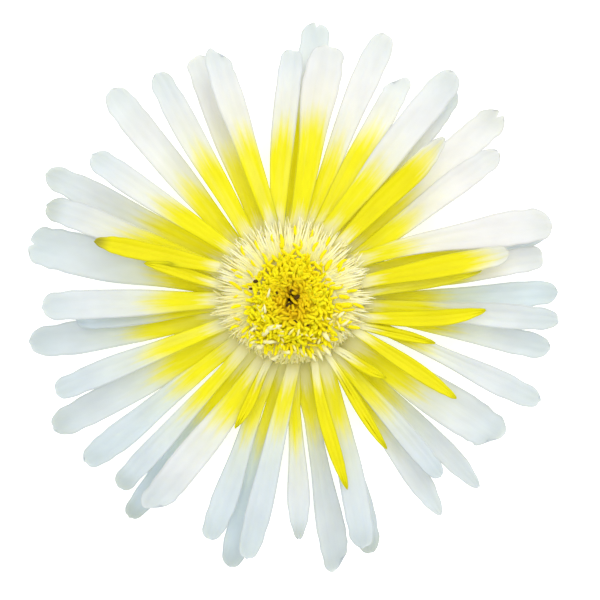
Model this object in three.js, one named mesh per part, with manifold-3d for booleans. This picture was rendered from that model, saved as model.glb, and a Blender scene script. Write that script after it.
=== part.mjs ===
// One ice plant flower as picked, lying face up on the scar where it broke from its stalk.
// Millimetres, +Z up along the flower's axis, origin at the centre of the scar.
// Petal directions are counter-clockwise from +X, as seen from above.
import * as THREE from "three";
import { mergeVertices } from "three/addons/utils/BufferGeometryUtils.js";
import Module from "manifold-3d";

const wasm = await Module();
wasm.setup();

// Calyx: the scar, the top-shaped receptacle, its rim, and the boss inside the rim
const SCAR_RADIUS = 2.4;
const RIM_RADIUS = 5.75;
const RIM_HEIGHT = 6;
const BOSS_RADIUS = 4.25;
const BOSS_HEIGHT = 8.5;
const CALYX_SIDES = 30;
const SEPAL_ROOT = 3.2;
const SEPAL_TOP = 5.65;
const SEPAL_DROOP = 0.9;

// Petals: every row has a short foot ring, and the rings are stacked on the rim
const RING_INNER = 4.5;
const RING_OUTER = 5.9;
const RING_HEIGHT = 1;
const RING_SIDES = 30;
const BLADE = 0.66;
const CHANNEL = 0.2;
const FOOT_RADIUS = 7.6;
const FOOT_SUNK = 2.4;
const FLOWER_RADIUS = 26;

// How the petals arch: up from the rim, then down to the tips, with a slow wave round the flower
const ARCH_RISE = 3;
const ARCH_DROP = 4.6;
const ROW_SPREAD = 0.6;
const WAVE = 0.45;
const TIP_PLAY = 0.3;

// Stamens: a crown, and outside it a whorl that leans out over the petal feet
const CROWN_COUNT = 60;
const CROWN_ROOTS = [1.65, 3.2];
const CROWN_TOPS = [0.85, 4.25];
const CROWN_HEIGHT = 14.8;
const CROWN_DROP = 0.6;
const CROWN_PLAY = 0.6;
const WHORL_COUNT = 22;
const WHORL_ROOT = 3.7;
const WHORL_REACH = 5.2;
const WHORL_STEP = 0.6;
const WHORL_PLAY = 0.3;
const WHORL_HEIGHT = 12.2;
const STAMEN_ROOT_HEIGHT = 10.4;
const ANTHER_LENGTH = 1.3;
const ANTHER_RADIUS = 0.44;
const FILAMENT_RADIUS = 0.27;
const CORE_INNER = 1.3;
const CORE_OUTER = 4.2;
const CORE_HEIGHT = 3;
const CORE_SIDES = 20;

// The pale pointed filaments outside the stamens
const STAMINODE_COUNT = 50;
const STAMINODE_FOOT = 0.6;
const STAMINODE_BEND = 6.2;
const STAMINODE_REACH = [6.7, 8];
const STAMINODE_RISE = [0.9, 1.3];

// Pistil: a low cone with five short stigmas in the middle of the stamens
const PISTIL_RADIUS = 1;
const PISTIL_TOP_RADIUS = 0.7;
const PISTIL_HEIGHT = 1.6;
const STIGMA_COUNT = 5;
const STIGMA_LENGTH = 1.7;
const STIGMA_ROOT = 0.35;
const STIGMA_SPREAD = 0.75;

// Seeds of the small differences between petals and between strands
const PETAL_SEED = 11;
const STAMEN_SEED = 5;
const STAMINODE_SEED = 8;
const UNEVEN = 0.3;

const STAMINODE_BASE = RIM_HEIGHT + 4 * RING_HEIGHT;
const GOLDEN_ANGLE = Math.PI * (3 - Math.sqrt(5));
const WELD = 1e-5;

// Petal outlines: how far along, and the half width as a share of the widest. The last line is the
// tip, where "back" is how far its clockwise edge, middle and other edge stay short of the reach.
const SHANK = [[0, 0.42], [0.2, 0.56], [0.42, 0.72], [0.62, 0.89], [0.8, 1]];
const SLIM_SHANK = [[0, 0.55], [0.22, 0.78], [0.45, 0.96], [0.64, 1]];
const ROUND = { shank: SHANK, tip: [[0.93, 0.95], [1, 0.56]], back: [0.45, 0, 0.45] };
const FLAT = { shank: SHANK, tip: [[0.94, 1], [1, 0.8]], back: [0.25, 0.1, 0] };
const NOTCHED = { shank: SHANK, tip: [[0.93, 1], [1, 0.64]], back: [0.1, 0.5, 0.1] };
const SLANTED = { shank: SHANK, tip: [[0.91, 0.98], [1, 0.66]], back: [0, 0.3, 1.2] };
const SLANTED_BACK = { shank: SHANK, tip: [[0.91, 0.98], [1, 0.66]], back: [1.1, 0.3, 0] };
const TAPERED = { shank: SHANK, tip: [[0.91, 0.9], [1, 0.32]], back: [0.5, 0, 0.5] };
const POINTED = { shank: SLIM_SHANK, tip: [[0.85, 0.76], [1, 0.16]], back: [0.2, 0, 0.2] };

// One line a petal: direction of its tip, direction of its foot, reach from the axis, width, outline
const OUTER_PETALS = [
  [1.8, -1, 25.3, 2.4, ROUND],
  [14.5, 20.5, 25, 2.2, ROUND],
  [42, 42, 26.5, 2.7, NOTCHED],
  [52, 52, 25.3, 2.3, ROUND],
  [84.5, 88.5, 26.3, 2.8, NOTCHED],
  [112.3, 115.5, 24.9, 2.5, ROUND],
  [131.3, 136.3, 26.5, 2.8, ROUND],
  [152.7, 150, 26.4, 2.8, ROUND],
  [168.2, 168.8, 25.6, 3.9, NOTCHED],
  [189.7, 193.5, 25.3, 3, ROUND],
  [208, 211.2, 26, 2.8, ROUND],
  [233.2, 233, 25.9, 2.4, ROUND],
  [257.3, 257, 26.2, 2.6, ROUND],
  [279.4, 280, 26.2, 2.6, ROUND],
  [287.4, 294.5, 25.3, 2.5, ROUND],
  [315, 315.7, 25.1, 2.1, TAPERED],
  [349.2, 350, 25, 2.5, ROUND],
];
const MIDDLE_PETALS = [
  [9.8, 9, 24.2, 2.5, FLAT],
  [35.3, 33.5, 24.1, 2.5, ROUND],
  [63.4, 68.3, 23.9, 2.3, SLANTED],
  [70.9, 77.5, 27, 2.7, ROUND],
  [120.8, 125.2, 25.2, 2.5, ROUND],
  [159.3, 158, 25, 2.8, ROUND],
  [185.3, 186, 22.4, 2, ROUND],
  [218.5, 218, 25.1, 2.6, ROUND],
  [251.2, 253, 24.2, 2.5, ROUND],
  [271.9, 271, 22.8, 2.1, ROUND],
  [304.8, 304.8, 24.8, 2.2, ROUND],
  [326, 323.5, 24, 3.5, SLANTED_BACK],
  [355.3, 355, 25.4, 2.4, ROUND],
];
const INNER_PETALS = [
  [7.8, 4, 18.1, 1.5, POINTED],
  [17.2, 29.3, 25.6, 3.1, FLAT],
  [54.5, 62.3, 26.7, 2.8, ROUND],
  [81.6, 84.3, 24.3, 2.7, FLAT],
  [89.9, 98.8, 23.8, 2.4, FLAT],
  [107.3, 104.8, 25.2, 2.6, TAPERED],
  [144.5, 141.5, 23.5, 2.5, ROUND],
  [181.7, 180.5, 23.8, 2.9, ROUND],
  [201.3, 199.8, 24.1, 2.3, FLAT],
  [227.2, 225.3, 24.3, 2.2, FLAT],
  [235.6, 243, 23.9, 3, SLANTED],
  [260.2, 269, 24.9, 2.4, ROUND],
  [286.1, 294, 24.6, 2.5, ROUND],
  [309.9, 309, 22, 2, ROUND],
  [337.4, 341.3, 25.5, 2.4, ROUND],
];
const YELLOW_PETALS = [
  [12, 13, 20.8, 2, ROUND],
  [46.5, 48, 21, 2.2, ROUND],
  [163.5, 156, 19.4, 1.6, POINTED],
  [246.3, 249, 13.4, 1.1, POINTED],
  [286, 284, 18.9, 1.4, POINTED],
  [302.3, 302, 16.8, 1.2, POINTED],
  [320, 314, 11.7, 1.1, POINTED],
  [328.7, 331, 18.2, 1.4, POINTED],
  [344, 340, 13.8, 1.1, POINTED],
  [357, 348, 18.5, 1.8, POINTED],
];

// The five unequal sepals, each behind a close group of petals: direction, reach and width at the base
const SEPALS = [
  [13, 12.6, 4.6],
  [87, 11.2, 4.2],
  [163, 12.2, 4.6],
  [233, 10.8, 4.2],
  [310.5, 11.4, 4],
];

// A repeatable stream of random numbers from 0 to 1
function seededRandom(seed) {
  let state = seed;
  return () => {
    state = (state + 0x6d2b79f5) | 0;
    let mixed = Math.imul(state ^ (state >>> 15), 1 | state);
    mixed = (mixed + Math.imul(mixed ^ (mixed >>> 7), 61 | mixed)) ^ mixed;
    return ((mixed ^ (mixed >>> 14)) >>> 0) / 4294967296;
  };
}

// The point at a distance from the axis, in a direction in degrees, at a height
function polar(radius, degrees, height = 0) {
  const angle = THREE.MathUtils.degToRad(degrees);
  return new THREE.Vector3(radius * Math.cos(angle), radius * Math.sin(angle), height);
}

// A closed geometry becomes a solid that can be joined
function solidOf(geometry) {
  const bare = new THREE.BufferGeometry();
  bare.setAttribute("position", geometry.getAttribute("position"));
  bare.setIndex(geometry.index);
  const welded = mergeVertices(bare, WELD);
  const mesh = new wasm.Mesh({
    numProp: 3,
    vertProperties: new Float32Array(welded.getAttribute("position").array),
    triVerts: new Uint32Array(welded.index.array),
  });
  return new wasm.Manifold(mesh);
}

// Grown-together parts become one solid
function joined(geometries) {
  return geometries.map(solidOf).reduce((whole, part) => whole.add(part));
}

// A named mesh of one solid, in the colour of its living tissue
function pieceOf(name, solid, color, roughness) {
  const { vertProperties, triVerts } = solid.getMesh();
  const geometry = new THREE.BufferGeometry();
  geometry.setAttribute("position", new THREE.BufferAttribute(vertProperties, 3));
  geometry.setIndex(new THREE.BufferAttribute(triVerts, 1));
  geometry.computeVertexNormals();
  const material = new THREE.MeshStandardMaterial({ color, roughness, metalness: 0 });
  const mesh = new THREE.Mesh(geometry, material);
  mesh.name = name;
  return mesh;
}

function geometryFrom(points, triangles) {
  const geometry = new THREE.BufferGeometry().setFromPoints(points);
  geometry.setIndex(triangles);
  return geometry;
}

// A profile of [radius, height] points turned round the flower's axis
function turned(profile, sides) {
  const points = profile.map(([radius, height]) => new THREE.Vector2(radius, height));
  return new THREE.LatheGeometry(points, sides).rotateX(Math.PI / 2);
}

function ring(inner, outer, bottom, top, sides) {
  const profile = [[inner, bottom], [outer, bottom], [outer, top], [inner, top], [inner, bottom]];
  return turned(profile, sides);
}

// A closed skin over sections that all have the same number of points, counter-clockwise seen from the tip
function loft(sections) {
  const count = sections[0].length;
  const last = (sections.length - 1) * count;
  const triangles = [];
  for (let s = 0; s < last; s += count) {
    for (let m = 0; m < count; m += 1) {
      const n = (m + 1) % count;
      triangles.push(s + m, s + n, s + count + n, s + m, s + count + n, s + count + m);
    }
  }
  for (let m = 1; m < count - 1; m += 1) {
    triangles.push(0, m + 1, m, last, last + m, last + m + 1);
  }
  return geometryFrom(sections.flat(), triangles);
}

// A regular section of a strand, across the direction that the strand runs in
function strandSection(centre, along, sides, radius, turn) {
  const side = new THREE.Vector3(-along.y, along.x, 0);
  if (side.lengthSq() < WELD) {
    side.set(0, 1, 0);
  }
  side.normalize();
  const other = along.clone().cross(side);
  return Array.from({ length: sides }, (_, k) => {
    const angle = turn + (2 * Math.PI * k) / sides;
    return centre
      .clone()
      .addScaledVector(side, radius * Math.cos(angle))
      .addScaledVector(other, radius * Math.sin(angle));
  });
}

// Height of a petal row's middle surface over its foot ring, at a point in plan
function petalHeight(x, y, row) {
  const share = (Math.hypot(x, y) - RING_OUTER) / (FLOWER_RADIUS - RING_OUTER);
  const angle = Math.atan2(y, x);
  const wave = 0.6 * Math.sin(3 * angle + 0.7) + 0.4 * Math.sin(5 * angle + 2.1);
  const spread = ARCH_RISE + ROW_SPREAD * row + WAVE * wave;
  return share * spread - ARCH_DROP * share * share;
}

// A petal: a channelled blade, three points wide, with both faces split into the same triangles
function petal([tipDirection, footDirection, reach, width, outline], row, play) {
  const foot = polar(FOOT_RADIUS, footDirection);
  const tip = polar(reach, tipDirection);
  const along = tip.clone().sub(foot).normalize();
  const across = new THREE.Vector3(-along.y, along.x, 0);
  const start = foot.clone().addScaledVector(along, -FOOT_SUNK);
  const length = tip.distanceTo(start);
  const ringMiddle = RIM_HEIGHT + (row + 0.5) * RING_HEIGHT;
  const stations = [...outline.shank, ...outline.tip];
  const upper = [];
  stations.forEach(([t, share], i) => {
    const isTip = i === stations.length - 1;
    for (let j = 0; j < 3; j += 1) {
      const half = (j - 1) * share * width * 0.5;
      const run = t * length - (isTip ? outline.back[j] : 0);
      const point = start.clone().addScaledVector(along, run).addScaledVector(across, half);
      const dip = j === 1 ? CHANNEL * share * t : 0;
      point.z = ringMiddle + petalHeight(point.x, point.y, row) + play * t * t - dip + BLADE / 2;
      upper.push(point);
    }
  });
  return bladeFrom(upper, stations.length);
}

// The blade under a grid of upper points, three to a station
function bladeFrom(upper, stationCount) {
  const lower = upper.map((point) => new THREE.Vector3(point.x, point.y, point.z - BLADE));
  const under = upper.length;
  const end = under - 3;
  const triangles = [];
  const wall = (a, b) => triangles.push(under + a, under + b, b, under + a, b, a);
  for (let i = 0; i < stationCount - 1; i += 1) {
    const near = 3 * i;
    const far = near + 3;
    for (let j = 0; j < 2; j += 1) {
      triangles.push(near + j, far + j, far + j + 1, near + j, far + j + 1, near + j + 1);
      triangles.push(under + near + j, under + far + j + 1, under + far + j);
      triangles.push(under + near + j, under + near + j + 1, under + far + j + 1);
    }
    wall(near, far);
    wall(far + 2, near + 2);
  }
  wall(end, end + 1);
  wall(end + 1, end + 2);
  wall(2, 1);
  wall(1, 0);
  return geometryFrom([...upper, ...lower], triangles);
}

// A row of petals grown together on its foot ring
function petalRow(name, petals, row, color) {
  const random = seededRandom(PETAL_SEED + row);
  const bottom = RIM_HEIGHT + row * RING_HEIGHT;
  const foot = ring(RING_INNER, RING_OUTER, bottom, bottom + RING_HEIGHT, RING_SIDES);
  const blades = petals.map((line) => petal(line, row, (random() - 0.5) * TIP_PLAY));
  return pieceOf(name, joined([foot, ...blades]), color, 0.5);
}

// A fleshy sepal, flat above and keeled below, sunk in the receptacle and spread under the petals
function sepal([direction, reach, width]) {
  const along = polar(1, direction);
  const across = new THREE.Vector3(-along.y, along.x, 0);
  const stations = [[0, 0.9, 3.4], [0.3, 1, 2.7], [0.6, 0.78, 1.9], [0.86, 0.45, 1.25], [1, 0.14, 0.6]];
  const sections = stations.map(([t, share, depth]) => {
    const half = 0.5 * width * share;
    const face = SEPAL_TOP - SEPAL_DROOP * t * t;
    const outline = [
      [-half, face - 0.3 * depth],
      [-0.6 * half, face - 0.78 * depth],
      [0, face - depth],
      [0.6 * half, face - 0.78 * depth],
      [half, face - 0.3 * depth],
      [0.75 * half, face],
      [-0.75 * half, face],
    ];
    return outline.map(([side, z]) => {
      const point = along.clone().multiplyScalar(THREE.MathUtils.lerp(SEPAL_ROOT, reach, t));
      point.addScaledVector(across, side);
      point.z = z;
      return point;
    });
  });
  return loft(sections);
}

// The receptacle with its sepals: solid, as the fleshy base of the flower is
function calyx() {
  const profile = [
    [0, 0],
    [SCAR_RADIUS, 0],
    [SCAR_RADIUS + 0.15, 0.6],
    [3.3, 1.5],
    [4.4, 2.8],
    [5.25, 4.3],
    [RIM_RADIUS, 5.5],
    [RIM_RADIUS, RIM_HEIGHT],
    [BOSS_RADIUS, RIM_HEIGHT],
    [BOSS_RADIUS, BOSS_HEIGHT],
    [0, BOSS_HEIGHT],
  ];
  const receptacle = turned(profile, CALYX_SIDES);
  return pieceOf("calyx", joined([receptacle, ...SEPALS.map(sepal)]), 0x7f9a45, 0.6);
}

// A stamen: a slim four-sided filament that swells into its anther
function stamen(root, top, turn) {
  const heading = top.clone().sub(root).normalize();
  const section = (point, radius) => strandSection(point, heading, 4, radius, turn);
  const swell = [[0.22, 1], [0.78, 0.9], [1, 0.25]].map(([share, size]) => {
    const centre = top.clone().addScaledVector(heading, share * ANTHER_LENGTH);
    return section(centre, size * ANTHER_RADIUS);
  });
  return loft([section(root, FILAMENT_RADIUS), section(top, FILAMENT_RADIUS), ...swell]);
}

// The stamens of the crown, upright in the middle and spread evenly by the golden angle
function crown(random) {
  return Array.from({ length: CROWN_COUNT }, (_, k) => {
    const share = Math.sqrt((k + 0.5) / CROWN_COUNT);
    const direction = THREE.MathUtils.radToDeg(k * GOLDEN_ANGLE);
    const drop = CROWN_DROP * share * share + CROWN_PLAY * random();
    const height = CROWN_HEIGHT - ANTHER_LENGTH - drop;
    const root = polar(THREE.MathUtils.lerp(...CROWN_ROOTS, share), direction, STAMEN_ROOT_HEIGHT);
    const top = polar(THREE.MathUtils.lerp(...CROWN_TOPS, share), direction, height);
    return stamen(root, top, random() * Math.PI);
  });
}

// The stamens of the outer whorl, longer and shorter in turn
function whorl(random) {
  return Array.from({ length: WHORL_COUNT }, (_, k) => {
    const direction = (360 * (k + UNEVEN * random())) / WHORL_COUNT;
    const root = polar(WHORL_ROOT, direction, STAMEN_ROOT_HEIGHT);
    const reach = WHORL_REACH + WHORL_STEP * (k % 2) + WHORL_PLAY * random();
    return stamen(root, polar(reach, direction, WHORL_HEIGHT), random() * Math.PI);
  });
}

// All stamens. Lower down they stand so close together that they are one mass: a smaller core in the
// middle, which the rest stand out of.
function stamens() {
  const random = seededRandom(STAMEN_SEED);
  const top = BOSS_HEIGHT + CORE_HEIGHT;
  const core = turned([
    [CORE_INNER, BOSS_HEIGHT],
    [CORE_OUTER, BOSS_HEIGHT],
    [CORE_OUTER, top - 0.7],
    [CORE_OUTER - 0.8, top],
    [CORE_INNER, top - 0.4],
    [CORE_INNER, BOSS_HEIGHT],
  ], CORE_SIDES);
  return pieceOf("stamens", joined([core, ...crown(random), ...whorl(random)]), 0xe8d21a, 0.6);
}

// The pale pointed filaments between the stamens and the petals
function staminodes() {
  const random = seededRandom(STAMINODE_SEED);
  const top = STAMINODE_BASE + STAMINODE_FOOT;
  const foot = ring(RING_INNER, RING_OUTER - 0.3, STAMINODE_BASE, top, RING_SIDES);
  const strands = Array.from({ length: STAMINODE_COUNT }, (_, k) => {
    const direction = (360 * (k + UNEVEN * random())) / STAMINODE_COUNT;
    const reach = THREE.MathUtils.lerp(...STAMINODE_REACH, random());
    const rise = THREE.MathUtils.lerp(...STAMINODE_RISE, random());
    const root = polar(RING_INNER + 0.5, direction, STAMINODE_BASE + 0.5 * STAMINODE_FOOT);
    const bend = polar(STAMINODE_BEND, direction, top + 0.25 * rise);
    const path = new THREE.QuadraticBezierCurve3(root, bend, polar(reach, direction, top + rise));
    const stops = [[0, 0.3], [0.5, 0.26], [0.8, 0.2], [1, 0.08]];
    const sections = stops.map(([t, radius]) => {
      return strandSection(path.getPoint(t), path.getTangent(t), 3, radius, Math.PI / 2);
    });
    return loft(sections);
  });
  return pieceOf("staminodes", joined([foot, ...strands]), 0xf3eec8, 0.6);
}

// The pistil: the dark nectary cone in the middle and its five stigmas
function pistil() {
  const shoulder = BOSS_HEIGHT + PISTIL_HEIGHT;
  const cone = turned([
    [0, BOSS_HEIGHT],
    [PISTIL_RADIUS, BOSS_HEIGHT],
    [PISTIL_TOP_RADIUS, shoulder],
    [0, shoulder],
  ], 12);
  const stigmas = Array.from({ length: STIGMA_COUNT }, (_, k) => {
    const direction = 20 + (360 * k) / STIGMA_COUNT;
    const root = polar(STIGMA_ROOT, direction, shoulder - 0.4);
    const top = polar(STIGMA_SPREAD, direction, shoulder + STIGMA_LENGTH);
    const path = new THREE.LineCurve3(root, top);
    const stops = [[0, 0.26], [0.6, 0.22], [1, 0.1]];
    const sections = stops.map(([t, radius]) => {
      return strandSection(path.getPoint(t), path.getTangent(t), 4, radius, 0);
    });
    return loft(sections);
  });
  return pieceOf("pistil", joined([cone, ...stigmas]), 0x8c8434, 0.6);
}

const group = new THREE.Group();
group.add(calyx());
group.add(petalRow("petals_outer_row", OUTER_PETALS, 0, 0xe3eae6));
group.add(petalRow("petals_middle_row", MIDDLE_PETALS, 1, 0xeaeee6));
group.add(petalRow("petals_inner_row", INNER_PETALS, 2, 0xf1f1e4));
group.add(petalRow("petals_yellow_row", YELLOW_PETALS, 3, 0xf4e81a));
group.add(staminodes());
group.add(stamens());
group.add(pistil());

export default group;
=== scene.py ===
"""The looks of one ice plant flower, as picked, lying face up on its stalk scar.

Sizes are real ones in millimetres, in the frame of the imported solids, and become metres when a mesh is
built. Directions are in degrees, counter-clockwise from +X as seen from above. A petal's own measures run
along it from 0 at the foot to 1 at the tip, and across it from -1 at its clockwise edge to 1.
"""

from __future__ import annotations

import logging
import math
from dataclasses import dataclass, field
from enum import Enum
from typing import Any, Sequence

import bpy
import numpy as np
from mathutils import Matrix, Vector, noise


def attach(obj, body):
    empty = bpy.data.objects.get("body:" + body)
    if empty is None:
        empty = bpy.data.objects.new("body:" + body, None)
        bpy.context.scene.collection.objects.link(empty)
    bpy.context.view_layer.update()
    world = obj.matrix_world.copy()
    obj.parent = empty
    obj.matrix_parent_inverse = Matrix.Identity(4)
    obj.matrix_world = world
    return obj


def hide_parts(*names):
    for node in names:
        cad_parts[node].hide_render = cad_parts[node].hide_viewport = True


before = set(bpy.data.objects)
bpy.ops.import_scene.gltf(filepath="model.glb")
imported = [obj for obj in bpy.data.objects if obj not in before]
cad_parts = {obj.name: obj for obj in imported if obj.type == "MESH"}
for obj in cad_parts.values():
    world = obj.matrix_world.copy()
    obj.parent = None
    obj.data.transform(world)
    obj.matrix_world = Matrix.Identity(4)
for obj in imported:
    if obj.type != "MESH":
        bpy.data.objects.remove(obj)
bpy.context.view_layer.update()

LOG = logging.getLogger("flower")
BODY = "root"
MM = 0.001

# The flower's main sizes, the same as the solids'
RIM_RADIUS = 5.75
RIM_HEIGHT = 6.0
RING_HEIGHT = 1.0
RING_OUTER = 5.9
BOSS_HEIGHT = 8.5
FOOT_RADIUS = 7.6
FOOT_SUNK = 2.4
FLOWER_RADIUS = 26.0
ARCH_RISE = 3.0
ARCH_DROP = 4.6
ROW_SPREAD = 0.6
WAVE = 0.45
CROWN_HEIGHT = 13.35
GOLDEN_ANGLE = 180 * (3 - math.sqrt(5))

Array = np.ndarray
Face = tuple[int, ...]
Socket = bpy.types.NodeSocket


def linear(colour: str) -> tuple[float, float, float, float]:
    """Turns an sRGB hex colour into linear RGBA.

    Args:
        colour: the colour as "#rrggbb".

    Returns:
        Red, green, blue and an alpha of 1.
    """
    shares = [int(colour[k : k + 2], 16) / 255 for k in (1, 3, 5)]
    red, green, blue = (s / 12.92 if s <= 0.04045 else ((s + 0.055) / 1.055) ** 2.4 for s in shares)
    return red, green, blue, 1.0


def polar(radius: Array | float, degrees: Array | float, height: Array | float = 0.0) -> Array:
    """Gives the point at a distance from the flower's axis, in a direction, at a height.

    Args:
        radius: the distance from the axis.
        degrees: the direction.
        height: the height over the surface that the flower lies on.

    Returns:
        The point, or a grid of points where a measure is a grid.
    """
    angle = np.radians(degrees)
    return np.stack(np.broadcast_arrays(radius * np.cos(angle), radius * np.sin(angle), height), axis=-1)


def slanting(degrees: float, rise: float) -> Array:
    """Gives the way, with a length of 1, that points in a direction and climbs at an angle."""
    return polar(math.cos(math.radians(rise)), degrees, math.sin(math.radians(rise)))


def smooth(low: float, high: float, value: Array | float) -> Array | float:
    """Rises smoothly from 0 to 1 as a value goes from low to high.

    Args:
        low: where the rise starts.
        high: where it ends.
        value: one value or many.

    Returns:
        The share, as many as the values.
    """
    share = np.clip((value - low) / (high - low), 0, 1)
    return share * share * (3 - 2 * share)


def lower_side(degrees: Array | float) -> Array | float:
    """Gives how far a direction points to the lower side of the picture, from 0 to 1."""
    return smooth(0.1, 0.9, -np.sin(np.radians(degrees)))


def brim(degrees: Array | float) -> Array | float:
    """Gives how far out the dense crown of stamens reaches: a rounded triangle, one corner to the top."""
    angle = np.radians(degrees)
    return 3.95 - 0.36 * np.sin(3 * angle) - 0.4 * np.cos(2 * angle) - 0.56 * np.sin(angle)


def crown_height(out: float, degrees: float) -> float:
    """Gives how high the stamens' ends stand: a dimple, a low dome, and a slope outside the crown.

    Args:
        out: distance from the axis.
        degrees: the direction.

    Returns:
        The height.
    """
    edge = brim(degrees)
    dome = CROWN_HEIGHT + 0.55 * smooth(0.5, 2.2, out) - 1.1 * smooth(0.6, 1.0, out / edge)
    return float(dome - 0.75 * max(out - edge, 0))


def bearing(place: Array) -> tuple[float, float]:
    """Gives a place's distance from the axis and its direction."""
    return float(np.hypot(*place)), math.degrees(math.atan2(place[1], place[0]))


def unit(vector: Array) -> Array:
    """Gives a vector's direction, with a length of 1."""
    return vector / max(float(np.linalg.norm(vector)), 1e-9)


# Shader nodes

MIX_A, MIX_B, MIX_OUT = 6, 7, 2
SMOOTH, EVEN = "SMOOTHSTEP", "LINEAR"


@dataclass
class Weave:
    """The node tree of one material.

    Attributes:
        tree: the tree, empty at first.
    """

    tree: bpy.types.NodeTree

    def add(
        self, kind: str, inputs: dict[str | int, Any] | None = None, out: str | int = 0, **settings: Any
    ) -> Socket | None:
        """Adds a node with its settings and links.

        Args:
            kind: the node's type, without "ShaderNode".
            inputs: numbers, colours or other nodes' outputs for its inputs, by name or place.
            out: which output is wanted.
            settings: the node's own options.

        Returns:
            The output that is wanted, if it has any.
        """
        node = self.tree.nodes.new("ShaderNode" + kind)
        for name, setting in settings.items():
            setattr(node, name, setting)
        for name, value in (inputs or {}).items():
            if isinstance(value, Socket):
                self.tree.links.new(value, node.inputs[name])
            else:
                node.inputs[name].default_value = value
        return node.outputs[out] if node.outputs else None


@dataclass(frozen=True)
class Finish:
    """What every finish has: a name for what the surface is, and its own nodes."""

    name: str

    def weave(self, net: Weave) -> Socket:
        """Adds the nodes and returns the shader."""
        raise NotImplementedError

    def material(self) -> bpy.types.Material:
        """Makes the material.

        Returns:
            The material, with the shader linked to its output.
        """
        material = bpy.data.materials.new(self.name)
        material.use_nodes = True
        material.node_tree.nodes.clear()
        net = Weave(material.node_tree)
        net.add("OutputMaterial", {"Surface": self.weave(net)})
        return material


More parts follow.
